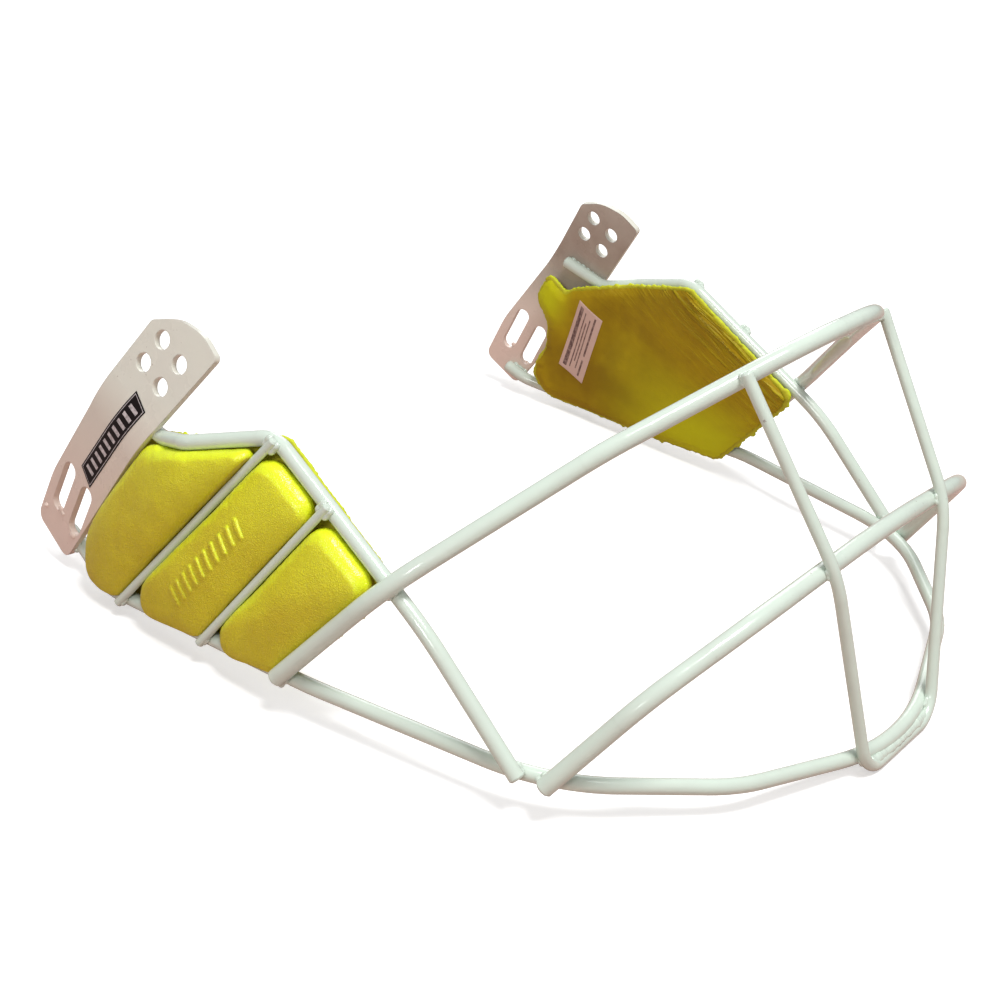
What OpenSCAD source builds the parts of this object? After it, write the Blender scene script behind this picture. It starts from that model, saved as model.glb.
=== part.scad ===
// Face guard for a cricket helmet: bent and welded steel rods, two side plates and cheek pads.
// Millimetres. X is across the face (+X is the wearer's right), Y points forward, Z up.
// The origin is on the surface that the guard stands on, below the middle of the face opening.

/* [Frame] */
// Width between the two sides of the chin rod, axis to axis
frame_w = 230; // [215:1:250]
// Length from the chin rod's rear ends to its front
frame_l = 220; // [205:1:240]
// Height of the top bar's axis at the middle
frame_h = 112.5; // [103.5:0.5:123.5]

/* [Rods] */
// Diameter of the top bar and the mouth bar
bar_d = 5; // [4.4:0.1:6]
// Diameter of the chin rod and the cheek rods
rail_d = 4.3; // [3.8:0.1:5.2]
// Diameter of the centre rod
centre_rod_d = 3.4; // [3:0.1:4.4]
// Diameter of the short cross rods in front of the pads
cross_rod_d = 2.5; // [2:0.1:3.4]
// How deep one rod is fused into the next where they are welded
weld_bite = 0.5; // [0.3:0.1:0.8]
// How far the ends of the top bar and the mouth bar stand past the chin rod's axis
bar_overhang = 0.8; // [0:0.1:3]
// How far the cheek rods' front ends stand past the chin rod's axis
rail_overhang = 2.2; // [0.5:0.1:4]
// How far the centre rod's upper ends stand past the top bar's axis
centre_overhang = 1.4; // [0:0.1:3]
// How far a cross rod's upper end stands past the cheek rod's axis
cross_head = 2; // [0.5:0.1:3]
// How far a cross rod's lower end stands past the chin rod's axis
cross_foot = 2.4; // [1:0.1:4]

/* [Side plates] */
// Thickness of the side plates
plate_t = 2; // [1.5:0.1:3]
// Width of a side plate
plate_w = 23.5; // [22:0.5:28]
// Length of the flat from the bend down to the lower end
plate_leg = 56; // [52:1:62]
// Length of the head from the bend up to its highest edge
plate_head = 36.5; // [32:0.5:42]
// Angle that the head is bent in towards the helmet
head_bend = 16; // [8:1:22]
// Angle that a plate leans forward
plate_lean = 28; // [22:1:34]
// Angle that a plate turns in towards the rear
plate_toe = 5.7; // [3:0.1:8]
// Diameter of the four bolt holes
hole_d = 5.4; // [4:0.1:6]
// Distance from one bolt hole to the next
hole_pitch = 9; // [8:0.5:11]
// Height of the hole pattern's middle above the bend
hole_rise = 21; // [19:0.5:24]
// Width of the adjusting slots
slot_w = 5.5; // [4:0.1:6]
// Length of the adjusting slots
slot_l = 18; // [12:0.5:20]
// Distance between the two slots
slot_pitch = 9.4; // [8.8:0.1:10.5]

/* [Cheek pads] */
// Thickness of the pad's backing sheet
sheet_t = 2.2; // [1.5:0.1:3]
// Thickness of the lining film
film_t = 0.8; // [0.5:0.1:1.2]
// How far the lining film stays back from the sheet's edge
film_inset = 1.2; // [0.5:0.1:3]
// Height of a pillow at its edge, above the sheet
pillow_h = 8; // [6:0.2:10]
// Extra height in the middle of a pillow
pillow_crown = 1.6; // [0.6:0.1:3]
// Radius of a pillow's upper edge
pillow_edge_r = 4.4; // [3:0.1:5]
// Radius of a pillow's corners
pillow_corner_r = 5; // [3:0.1:6]
// Gap between a pillow's side and the rods around it
pillow_gap = 0.4; // [0.3:0.1:1.5]
// Gap between the soft pieces and what carries them
pad_gap = 0.3; // [0.2:0.1:0.6]

/* [Hidden] */

coat = "#e4efe4";
pad_yellow = "#c6d91e";
lining_olive = "#8f7d12";

// The places below are for a frame of this size and stretch with it
drawn_frame = [230, 220, 112.5];
function at(x, y, z) = [x * frame_w / drawn_frame.x, y * frame_l / drawn_frame.y, z * frame_h / drawn_frame.z];

// Vectors and frames
function unit(v) = v / norm(v);
function lerp(a, b, t) = a + (b - a) * t;
// Matrix that puts the origin at p, with Z along w and X beside it along u
function frame_at(p, u, w) = let (k = unit(w), i = unit(u - (u * k) * k), j = cross(k, i))
  [[i.x, j.x, k.x, p.x], [i.y, j.y, k.y, p.y], [i.z, j.z, k.z, p.z], [0, 0, 0, 1]];
function side_of(w) = abs(w.z) < 0.9 * norm(w) ? cross(w, [0, 0, 1]) : cross(w, [1, 0, 0]);
function turn(a, b) = acos(max(-1, min(1, unit(a) * unit(b))));

// A rod is a list of corners with a bend radius at each, and a radius of 0 at its two ends
function setback(points, radii, i) = radii[i] == 0 ? 0
  : radii[i] * tan(turn(points[i] - points[i - 1], points[i + 1] - points[i]) / 2);
function bend_turn(points, i) = turn(points[i] - points[i - 1], points[i + 1] - points[i]);
function bend_start(points, radii, i) =
  points[i] - unit(points[i] - points[i - 1]) * setback(points, radii, i);
function bend_inward(points, i) = let (u = unit(points[i - 1] - points[i]), v = unit(points[i + 1] - points[i]))
  unit(v - (v * u) * u);
// Point of the bend at corner i, t of the way round, and the rod's direction there
function on_bend(points, radii, i, t) = let (
    inward = bend_inward(points, i),
    ahead = unit(points[i] - points[i - 1]),
    angle = bend_turn(points, i) * t)
  [bend_start(points, radii, i) + radii[i] * (inward * (1 - cos(angle)) + ahead * sin(angle)),
    inward * sin(angle) + ahead * cos(angle)];
// Point of the straight after corner i, t of the way to the next corner, and the rod's direction there
function on_run(points, i, t) = [lerp(points[i], points[i + 1], t), unit(points[i + 1] - points[i])];
function mirrored(points) = [for (i = [len(points) - 1:-1:0]) [-points[i].x, points[i].y, points[i].z]];
function reversed(list) = [for (i = [len(list) - 1:-1:0]) list[i]];

// Bends are this much fuller than the straights, which reach this far into them
swell = 0.02;
poke = 0.3;
end_chamfer = 0.5;
rod_fn = 48;
bend_fn = 96;

module rod_run(a, b, d, first, last) {
  r = d / 2;
  h = norm(b - a);
  c0 = first ? end_chamfer : 0;
  c1 = last ? end_chamfer : 0;
  foot = first ? [[0, 0], [r - c0, 0], [r, c0]] : [[0, 0], [r, 0]];
  top = last ? [[r, h - c1], [r - c1, h], [0, h]] : [[r, h], [0, h]];
  multmatrix(frame_at(a, side_of(b - a), b - a))
    rotate_extrude($fn = rod_fn) polygon(concat(foot, top));
}

module rod_bend(points, radii, i, d) {
  inward = bend_inward(points, i);
  ahead = unit(points[i] - points[i - 1]);
  centre = bend_start(points, radii, i) + inward * radii[i];
  multmatrix(frame_at(centre, -inward, cross(-inward, ahead)))
    rotate_extrude(angle = bend_turn(points, i), $fn = bend_fn)
      translate([radii[i], 0]) circle(d = d + 2 * swell, $fn = rod_fn);
}

module bent_rod(points, radii, d) {
  n = len(points);
  for (i = [0:n - 2]) {
    dir = unit(points[i + 1] - points[i]);
    rod_run(points[i] + dir * (i == 0 ? 0 : setback(points, radii, i) - poke),
      points[i + 1] - dir * (i == n - 2 ? 0 : setback(points, radii, i + 1) - poke),
      d, i == 0, i == n - 2);
  }
  for (i = [1:1:n - 2]) rod_bend(points, radii, i, d);
}

// Rods cross over one another on the side away from the head
head_middle = at(0, -20, 50);
function stack(a, b) = (a + b) / 2 - weld_bite;
// Point of a rod along dir that crosses over the spot [point, direction] of another
function over(spot, dir, gap) = let (n = unit(cross(spot[1], dir)))
  spot[0] + n * (n * (spot[0] - head_middle) >= 0 ? gap : -gap);

// Side plates: X across the plate and forward, Y up along it, Z out of the head, 0 at the bend
plate_bend = at(110.9, -84.4, 56.7);
plate_tilt = 2.3;
plate_out = unit([1, -tan(plate_toe), tan(plate_tilt)]);
plate_lean_dir = [0, sin(plate_lean), cos(plate_lean)];
plate_up = unit(plate_lean_dir - (plate_lean_dir * plate_out) * plate_out);
plate_across = cross(plate_up, plate_out);
head_bend_r = 50;
bend_reach = head_bend_r * tan(head_bend / 2);
// How far the bent plate has come in, s above the bend
function bend_drop(s) = let (x = s + bend_reach) x <= 0 ? 0 : head_bend_r - sqrt(head_bend_r * head_bend_r - x * x);
// Place of a rod of diameter d that is welded to the plate's inner face
function on_plate(across, s, d) = plate_bend + plate_across * across + plate_up * s
  - plate_out * (plate_t / 2 + d / 2 - weld_bite + bend_drop(s));

// Chin rod, from the right plate's inner face to the middle
chin_end_up = 4.3 - plate_leg;
chin_half = [on_plate(1.5, chin_end_up, rail_d), on_plate(10.2, chin_end_up + 1.3, rail_d),
  at(115, -81.4, 4.6), at(115, -4.1, 10.4), at(102.8, 65.3, 11.1), at(63.4, 97.7, 8.7), at(0, 118.1, 3.2)];
chin_half_radii = [0, 20, 25, 60, 50, 45, 88];
chin_points = concat(chin_half, mirrored([for (i = [0:5]) chin_half[i]]));
chin_radii = concat(chin_half_radii, reversed([for (i = [0:5]) chin_half_radii[i]]));

// Cheek rod, from the plate over the pads and down to the chin rod
cheek_radii = [0, 8, 8, 10, 80, 0];
cheek_corner = at(104.6, -32.6, 68.5);
cheek_knee = at(107.7, 25.1, 38.6);
cheek_on_chin = on_bend(chin_points, chin_radii, 4, 0.26);
cheek_foot = over(cheek_on_chin, at(-1.1, 33.9, -25.2), stack(rail_d, rail_d));
cheek_points = [on_plate(-4.5, 0.5, rail_d), on_plate(13.1, 4.8, rail_d), at(111.2, -58.5, 58.6),
  cheek_corner, cheek_knee, cheek_foot + unit(cheek_foot - cheek_knee) * rail_overhang];

// Top bar, over the chin rod and the cheek rod, then round the brow
top_on_chin = on_run(chin_points, 2, 0.9);
top_on_cheek = on_run(cheek_points, 3, 0.795);
top_leg_dir = top_on_cheek[0] - top_on_chin[0];
top_foot = over(top_on_chin, top_leg_dir, stack(bar_d, rail_d));
// The corner's two lines meet a little outside the bend itself
top_corner_out = [1, 0.7, 1.7];
top_corner = over(top_on_cheek, top_leg_dir, stack(bar_d, rail_d)) + top_corner_out;
top_half = [top_foot - unit(top_corner - top_foot) * bar_overhang, top_corner,
  at(69.8, 44.6, 85), at(21, 70.3, 112.5)];
top_half_radii = [0, 40, 60, 48];
top_points = concat(top_half, mirrored(top_half));
top_radii = concat(top_half_radii, reversed(top_half_radii));

// Mouth bar, over the chin rod and across below the eyes
mouth_on_chin = on_bend(chin_points, chin_radii, 4, 0.48);
mouth_corner = at(91, 81.2, 39.2);
mouth_foot = over(mouth_on_chin, mouth_corner - mouth_on_chin[0], stack(bar_d, rail_d));
mouth_half = [mouth_foot - unit(mouth_corner - mouth_foot) * bar_overhang, mouth_corner,
  at(62.6, 92, 56), at(0, 95.4, 63.2)];
mouth_half_radii = [0, 30, 60, 200];
mouth_points = concat(mouth_half, mirrored([for (i = [0:2]) mouth_half[i]]));
mouth_radii = concat(mouth_half_radii, reversed([for (i = [0:2]) mouth_half_radii[i]]));

// Centre rod, a U that hangs from the top bar, over the mouth bar and under the chin
centre_on_top = on_run(top_points, 2, 0.665);
centre_on_mouth = on_run(mouth_points, 2, 0.49);
chin_front = on_bend(chin_points, chin_radii, 6, 0.5)[0];
centre_foot_z = centre_rod_d / 2;
centre_foot_y = chin_front.y + sqrt(max(0, pow(stack(centre_rod_d, rail_d), 2) - pow(chin_front.z - centre_foot_z, 2)));
centre_drop_dir = centre_on_mouth[0] - centre_on_top[0];
centre_head = over(centre_on_top, centre_drop_dir, stack(centre_rod_d, bar_d));
centre_knee_out = [1.4, 1.5, -1.5];
centre_knee = over(centre_on_mouth, centre_drop_dir, stack(centre_rod_d, bar_d)) + centre_knee_out;
centre_half = [centre_head + unit(centre_head - centre_knee) * centre_overhang, centre_knee,
  [at(20.9, 0, 0).x, centre_foot_y, centre_foot_z]];
centre_half_radii = [0, 40, 10];
centre_points = concat(centre_half, mirrored(centre_half));
centre_radii = concat(centre_half_radii, reversed(centre_half_radii));

// Short cross rods: where they pass the cheek rod and the chin rod
rear_cross = [on_bend(cheek_points, cheek_radii, 3, 0.6), on_run(chin_points, 2, 0.11)];
front_cross = [on_run(cheek_points, 3, 0.38), on_run(chin_points, 2, 0.53)];

// Outline with an arc at each corner, given anticlockwise as [x, y, radius]. Each edge gets fill parts
function arc_at(corners, i, steps) = let (
    n = len(corners),
    flat_point = function(k) [corners[k % n].x, corners[k % n].y],
    c = flat_point(i),
    u = unit(flat_point(i + n - 1) - c),
    v = unit(flat_point(i + 1) - c),
    half = acos(max(-1, min(1, u * v))) / 2,
    middle = c + unit(u + v) * (corners[i][2] / sin(half)),
    start = c + u * (corners[i][2] / tan(half)) - middle,
    sweep = (u.x * v.y - u.y * v.x < 0 ? 1 : -1) * (180 - 2 * half))
  [for (k = [0:steps]) let (a = sweep * k / steps)
    middle + [start.x * cos(a) - start.y * sin(a), start.x * sin(a) + start.y * cos(a)]];
function rounded(corners, steps, fill = 1) = let (arcs = [for (i = [0:len(corners) - 1]) arc_at(corners, i, steps)])
  [for (i = [0:len(arcs) - 1]) each concat(arcs[i],
    [for (k = [1:1:fill - 1]) lerp(arcs[i][steps], arcs[(i + 1) % len(arcs)][0], k / fill)])];
// Corner i of an outline whose edges are moved in by a distance each; edge i runs from corner i to the next
function inset_corner(points, edges, i) = let (
    n = len(points),
    u = unit(points[i] - points[(i + n - 1) % n]),
    v = unit(points[(i + 1) % n] - points[i]),
    a = [-u.y, u.x] * edges[(i + n - 1) % n],
    b = [-v.y, v.x] * edges[i],
    gap = b - a)
  points[i] + a + u * ((gap.x * v.y - gap.y * v.x) / (u.x * v.y - u.y * v.x));

// Side plate, drawn flat round the middle of its bend
module plate_outline() {
  half = plate_w / 2;
  polygon(rounded([[half - 3.1, -plate_leg, 3], [half + 0.1, bend_reach, 60], [half + 0.4, plate_head - 0.3, 1.8],
    [4, plate_head + 0.4, 14], [-5, plate_head - 3, 14], [-half + 0.6, plate_head - 10, 2.5],
    [-half + 1.6, -bend_reach, 60], [-half + 0.7, -0.68 * plate_leg, 40], [-half + 3.4, -plate_leg, 3.5]], 8));
}

module plate_slab(low, high) {
  intersection() {
    linear_extrude(plate_t, center = true) plate_outline();
    translate([-plate_w, low, -plate_t]) cube([2 * plate_w, high - low, 2 * plate_t]);
  }
}

module plate_body() {
  reach = plate_leg + plate_head;
  plate_slab(-reach, poke - bend_reach);
  rotate([-head_bend, 0, 0]) plate_slab(bend_reach - poke, reach);
  intersection() {
    linear_extrude(reach, center = true) plate_outline();
    multmatrix(frame_at([0, -bend_reach, -head_bend_r], [0, 0, 1], [-1, 0, 0]))
      rotate_extrude(angle = head_bend, $fn = bend_fn)
        translate([head_bend_r - plate_t / 2 - swell, -plate_w]) square([plate_t + 2 * swell, 2 * plate_w]);
  }
}

module bolt_holes() {
  rotate([-head_bend, 0, 0])
    for (x = [-0.5, 0.5], y = [-0.5, 0.5])
      translate([x * hole_pitch, hole_rise + y * hole_pitch, 0])
        cylinder(d = hole_d, h = 4 * plate_t, center = true, $fn = rod_fn);
}

slot_turn = 8;
slot_drop = 38;
slot_steps = 12;
module slots() {
  straight = (slot_l - slot_w) / 2;
  for (side = [-0.5, 0.5])
    translate([side * slot_pitch, -slot_drop, 0]) rotate(slot_turn)
      linear_extrude(4 * plate_t, center = true)
        polygon([for (end = [1, -1], k = [0:slot_steps]) let (a = (end > 0 ? 0 : 180) + 180 * k / slot_steps)
          [slot_w / 2 * cos(a), end * straight + slot_w / 2 * sin(a)]]);
}

// Puts a plate's own frame in its place on the right side
module place_plate() {
  multmatrix(frame_at(plate_bend, plate_across, plate_out)) children();
}

module plate() {
  place_plate() difference() {
    plate_body();
    bolt_holes();
    slots();
  }
}

module side_plate_right() {
  color(coat) plate();
}

module side_plate_left() {
  color(coat) mirror([1, 0, 0]) plate();
}

// Both sides of something drawn on the right
module both_sides() {
  children();
  mirror([1, 0, 0]) children();
}

module chin_form() {
  bent_rod(chin_points, chin_radii, rail_d);
}

module cheek_form() {
  bent_rod(cheek_points, cheek_radii, rail_d);
}

module top_form() {
  bent_rod(top_points, top_radii, bar_d);
}

module mouth_form() {
  bent_rod(mouth_points, mouth_radii, bar_d);
}

// Each rod is cut where it lies fused on what carries it
module chin_rod() {
  color(coat) difference() {
    chin_form();
    both_sides() place_plate() plate_body();
  }
}

module cheek_rod() {
  difference() {
    cheek_form();
    chin_form();
    place_plate() plate_body();
  }
}

module cheek_rod_right() {
  color(coat) cheek_rod();
}

module cheek_rod_left() {
  color(coat) mirror([1, 0, 0]) cheek_rod();
}

module top_bar() {
  color(coat) difference() {
    top_form();
    chin_form();
    both_sides() cheek_form();
  }
}

module mouth_bar() {
  color(coat) difference() {
    mouth_form();
    chin_form();
  }
}

module centre_rod() {
  color(coat) difference() {
    bent_rod(centre_points, centre_radii, centre_rod_d);
    top_form();
    mouth_form();
    chin_form();
  }
}

module cross_rod(spots) {
  dir = unit(spots[1][0] - spots[0][0]);
  gap = stack(cross_rod_d, rail_d);
  difference() {
    rod_run(over(spots[0], dir, gap) - dir * cross_head, over(spots[1], dir, gap) + dir * cross_foot,
      cross_rod_d, true, true);
    chin_form();
    cheek_form();
  }
}

module rear_cross_rod_right() {
  color(coat) cross_rod(rear_cross);
}

module rear_cross_rod_left() {
  color(coat) mirror([1, 0, 0]) cross_rod(rear_cross);
}

module front_cross_rod_right() {
  color(coat) cross_rod(front_cross);
}

module front_cross_rod_left() {
  color(coat) mirror([1, 0, 0]) cross_rod(front_cross);
}

// The pads follow the ruled face between the cheek rod and the chin rod
line_steps = 4;
function centreline(points, radii) = concat([points[0]],
  [for (i = [1:len(points) - 2], k = [0:line_steps]) on_bend(points, radii, i, k / line_steps)[0]],
  [points[len(points) - 1]]);
chin_line = centreline(chin_half, chin_half_radii);
cheek_line = centreline(cheek_points, cheek_radii);
function line_at(line, y) = let (
    last = len(line) - 2,
    i = [for (k = [0:last]) if (k == last || y < line[k + 1].y) k][0])
  lerp(line[i], line[i + 1], (y - line[i].y) / (line[i + 1].y - line[i].y));
function cheek_x(y, z) = let (low = line_at(chin_line, y), high = line_at(cheek_line, y))
  lerp(low.x, high.x, (z - low.z) / (high.z - low.z));
// The sheet's outer face lies inside the rods, which lean a little on its slope
slope_room = 1.05;
sheet_face = -slope_room * rail_d / 2 - pad_gap;
// Place on the cheek at [y, z], out from the line of the rods by depth
function on_cheek(q, depth) = [cheek_x(q.x, q.y) + depth, q.x, q.y];
function side_view(p) = [p.y, p.z];

// Closed skin over rings with as many points each, from the inner cap's middle to the outer one's
module skin(first, rings, last) {
  n = len(rings[0]);
  end = 1 + n * len(rings);
  polyhedron(
    points = concat([first], [for (ring = rings) each ring], [last]),
    faces = concat(
      [for (i = [0:n - 1]) [0, 1 + i, 1 + (i + 1) % n]],
      [for (k = [0:len(rings) - 2], i = [0:n - 1]) let (a = 1 + k * n + i, b = 1 + k * n + (i + 1) % n) each
        [[a, b + n, b], [a, a + n, b + n]]],
      [for (i = [0:n - 1]) [end, end - n + (i + 1) % n, end - n + i]]));
}

// Pillow in a gap of the rods: corners as [y, z] at the rods' axes, half widths of the rods along its edges
pillow_arc = 5;
pillow_fill = 4;
module pillow(corners, rods, radii) {
  ring = function(e) rounded([for (i = [0:len(corners) - 1])
    let (c = inset_corner(corners, [for (r = rods) r + pillow_gap + e], i)) [c.x, c.y, max(0.8, radii[i] - e)]],
    pillow_arc, pillow_fill);
  sides = [[1.1, 0], [0.35, 0.8], [0.2, 2.4], [0, pillow_h - pillow_edge_r]];
  edge = [for (k = [1:5]) [pillow_edge_r * (1 - cos(18 * k)), pillow_h - pillow_edge_r * (1 - sin(18 * k))]];
  rim = ring(pillow_edge_r);
  foot = ring(sides[0][0]);
  middle = [for (k = [0:1]) [for (p = rim) p[k]] * [for (p = rim) 1] / len(rim)];
  base = sheet_face + pad_gap;
  skin(on_cheek(middle, base),
    concat([[for (p = foot) on_cheek(lerp(middle, p, 0.5), base)]],
      [for (s = concat(sides, edge)) [for (p = ring(s[0])) on_cheek(p, base + s[1])]],
      [for (t = [0.75, 0.4]) [for (p = rim) on_cheek(lerp(middle, p, t), base + pillow_h + pillow_crown * (1 - t * t))]]),
    on_cheek(middle, base + pillow_h + pillow_crown));
}

rail_half = rail_d / 2;
cross_half = cross_rod_d / 2;
// Each pillow's corners: lower rear, lower front, upper front, upper rear
rear_corners = [side_view(on_plate(plate_w / 2 - 2.2, chin_end_up, rail_d)), side_view(rear_cross[1][0]),
  side_view(rear_cross[0][0]), side_view(on_plate(plate_w / 2, 4.6, rail_d))];
middle_corners = [side_view(rear_cross[1][0]), side_view(front_cross[1][0]),
  side_view(front_cross[0][0]), side_view(rear_cross[0][0])];
front_corners = [side_view(front_cross[1][0]), side_view(top_on_chin[0]),
  side_view(top_on_cheek[0]), side_view(front_cross[0][0])];

module rear_pillow() {
  color(pad_yellow) pillow(rear_corners, [rail_half, cross_half, rail_half, 0],
    [1.8 * pillow_corner_r, pillow_corner_r, 0.6 * pillow_corner_r, pillow_corner_r]);
}

module middle_pillow() {
  color(pad_yellow) pillow(middle_corners, [rail_half, cross_half, rail_half, cross_half],
    [for (i = [0:3]) pillow_corner_r]);
}

module front_pillow() {
  color(pad_yellow) pillow(front_corners, [rail_half, bar_d / 2, rail_half, cross_half],
    [for (i = [0:3]) pillow_corner_r]);
}

module rear_pillow_right() {
  rear_pillow();
}

module rear_pillow_left() {
  mirror([1, 0, 0]) rear_pillow();
}

module middle_pillow_right() {
  middle_pillow();
}

module middle_pillow_left() {
  mirror([1, 0, 0]) middle_pillow();
}

module front_pillow_right() {
  front_pillow();
}

module front_pillow_left() {
  mirror([1, 0, 0]) front_pillow();
}

// Outline of the backing sheet in the side view, with its small flap at the upper rear corner
function sheet_corner(y, z, r) = [at(0, y, z).y, at(0, y, z).z, r];
sheet_corners = [sheet_corner(-96, 12, 8), sheet_corner(-86, 3.5, 6), sheet_corner(-38, 3.8, 40),
  sheet_corner(-11.5, 5.6, 5), sheet_corner(16.3, 42.4, 4), sheet_corner(-31, 68.8, 4),
  sheet_corner(-36, 67.4, 4), sheet_corner(-70, 55.8, 12), sheet_corner(-81, 51.5, 1.5),
  sheet_corner(-83.5, 49, 1.5), sheet_corner(-91.6, 54.4, 2), sheet_corner(-96.5, 43.5, 5),
  sheet_corner(-90, 34, 10), sheet_corner(-90, 24, 10)];
sheet_middle = side_view(at(0, -68, 24));
module sheet(inset, face, t) {
  flat_corners = [for (c = sheet_corners) [c.x, c.y]];
  edge = rounded([for (i = [0:len(flat_corners) - 1])
    let (c = inset_corner(flat_corners, [for (k = flat_corners) inset], i)) [c.x, c.y, sheet_corners[i][2]]], 2, 3);
  shares = [0.45, 0.8];
  layer = function(share, depth) [for (p = edge) on_cheek(lerp(sheet_middle, p, share), depth)];
  skin(on_cheek(sheet_middle, face - t),
    concat([for (s = shares) layer(s, face - t)], [layer(1, face - 0.85 * t), layer(1, face - 0.15 * t)],
      [for (k = [1:-1:0]) layer(shares[k], face)]),
    on_cheek(sheet_middle, face));
}

module pad_sheet_right() {
  color(pad_yellow) sheet(0, sheet_face, sheet_t);
}

module pad_sheet_left() {
  color(pad_yellow) mirror([1, 0, 0]) sheet(0, sheet_face, sheet_t);
}

lining_face = sheet_face - sheet_t - pad_gap;
module pad_lining_right() {
  color(lining_olive) sheet(film_inset, lining_face, film_t);
}

module pad_lining_left() {
  color(lining_olive) mirror([1, 0, 0]) sheet(film_inset, lining_face, film_t);
}

side_plate_right();
side_plate_left();
chin_rod();
cheek_rod_right();
cheek_rod_left();
top_bar();
mouth_bar();
centre_rod();
rear_cross_rod_right();
rear_cross_rod_left();
front_cross_rod_right();
front_cross_rod_left();
rear_pillow_right();
rear_pillow_left();
middle_pillow_right();
middle_pillow_left();
front_pillow_right();
front_pillow_left();
pad_sheet_right();
pad_sheet_left();
pad_lining_right();
pad_lining_left();
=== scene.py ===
# Face guard for a cricket helmet: bent steel rods, two side plates and moulded cheek pads.
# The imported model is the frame. This script adds the soft pads, the weld beads, the labels and the finishes.
import math
import time

import bmesh
import bpy
from mathutils import Matrix, Vector, noise
from mathutils.bvhtree import BVHTree


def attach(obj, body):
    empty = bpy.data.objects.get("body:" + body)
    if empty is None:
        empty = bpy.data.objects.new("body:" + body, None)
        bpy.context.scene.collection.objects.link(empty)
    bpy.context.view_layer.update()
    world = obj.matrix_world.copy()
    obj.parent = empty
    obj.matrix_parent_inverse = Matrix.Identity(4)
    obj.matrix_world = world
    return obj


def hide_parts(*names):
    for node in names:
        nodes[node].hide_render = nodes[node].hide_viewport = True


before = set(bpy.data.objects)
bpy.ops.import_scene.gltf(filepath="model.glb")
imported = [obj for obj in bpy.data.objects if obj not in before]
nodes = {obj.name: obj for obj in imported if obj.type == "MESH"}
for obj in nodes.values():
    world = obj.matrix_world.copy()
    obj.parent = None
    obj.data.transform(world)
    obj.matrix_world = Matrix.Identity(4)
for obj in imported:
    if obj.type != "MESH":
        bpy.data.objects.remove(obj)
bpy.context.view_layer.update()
mm = 0.001
begun = time.time()


def say(stage):
    print(stage, "at", round(time.time() - begun, 1), "s", flush=True)


cameraSettings = {
    "place": (0.40393, 0.23615, 0.25982),
    "right": (-0.60111, 0.78692, 0.13936),
    "down": (0.28378, 0.3732, -0.88328),
    "lens": 61.2,
    "sensor": 36,
    "clip": (0.01, 50),
}

studio = {
    "floorSize": 8,
    "floorSeen": (0.82, 0.82, 0.82, 1),
    "floorBounce": (0.5, 0.34, 0.3, 1),
    # how the floor's glow rises away from the middle: two distances in m, and the strength at each
    "floorFade": (0.3, 1.3, 0.42, 0.8),
    "worldColour": (1, 1, 1, 1),
    "worldStrength": 0.34,
    "lampAim": (0, 0, 0.05),
    "lamps": [
        {"name": "softTop", "place": (0.15, 0.35, 1.3), "size": (0.5, 0.35), "power": 14.5},
        {"name": "softSide", "place": (1.1, 0.2, 0.62), "size": (0.24, 0.24), "power": 3.0},
        {"name": "softBack", "place": (-0.8, -0.6, 0.7), "size": (0.5, 0.8), "power": 3},
    ],
}


def show(piece):
    bpy.context.scene.collection.objects.link(piece)


def deselectAll():
    if bpy.context.object and bpy.context.object.mode != "OBJECT":
        bpy.ops.object.mode_set(mode="OBJECT")
    bpy.ops.object.select_all(action="DESELECT")


def makeActive(piece):
    deselectAll()
    piece.select_set(True)
    bpy.context.view_layer.objects.active = piece


def applyModifiers(piece):
    makeActive(piece)
    for modifier in list(piece.modifiers):
        bpy.ops.object.modifier_apply(modifier=modifier.name)


def addModifier(piece, name, kind, **values):
    modifier = piece.modifiers.new(name, kind)
    for key, value in values.items():
        setattr(modifier, key, value)


def addEven(piece, size, smooth=True):
    # an even mesh of this size
    addModifier(piece, "even", "REMESH", mode="VOXEL", voxel_size=size, use_smooth_shade=smooth)


def addRelax(piece, rounds):
    addModifier(piece, "relax", "SMOOTH", iterations=rounds)


def settle(piece):
    # moves the piece's place into its mesh
    makeActive(piece)
    bpy.ops.object.transform_apply(location=True, rotation=True, scale=True)


def smoothStep(low, high, value):
    t = min(1, max(0, (value - low) / (high - low)))
    return t * t * (3 - 2 * t)


# camera, floor and light

def makeCamera():
    right = Vector(cameraSettings["right"]).normalized()
    up = -Vector(cameraSettings["down"]).normalized()
    data = bpy.data.cameras.new("camera")
    camera = bpy.data.objects.new("camera", data)
    show(camera)
    turn = Matrix((right, up, right.cross(up))).transposed().to_4x4()
    camera.matrix_world = Matrix.Translation(cameraSettings["place"]) @ turn
    data.lens = cameraSettings["lens"]
    data.sensor_width = cameraSettings["sensor"]
    data.clip_start, data.clip_end = cameraSettings["clip"]
    bpy.context.scene.camera = camera


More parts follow.
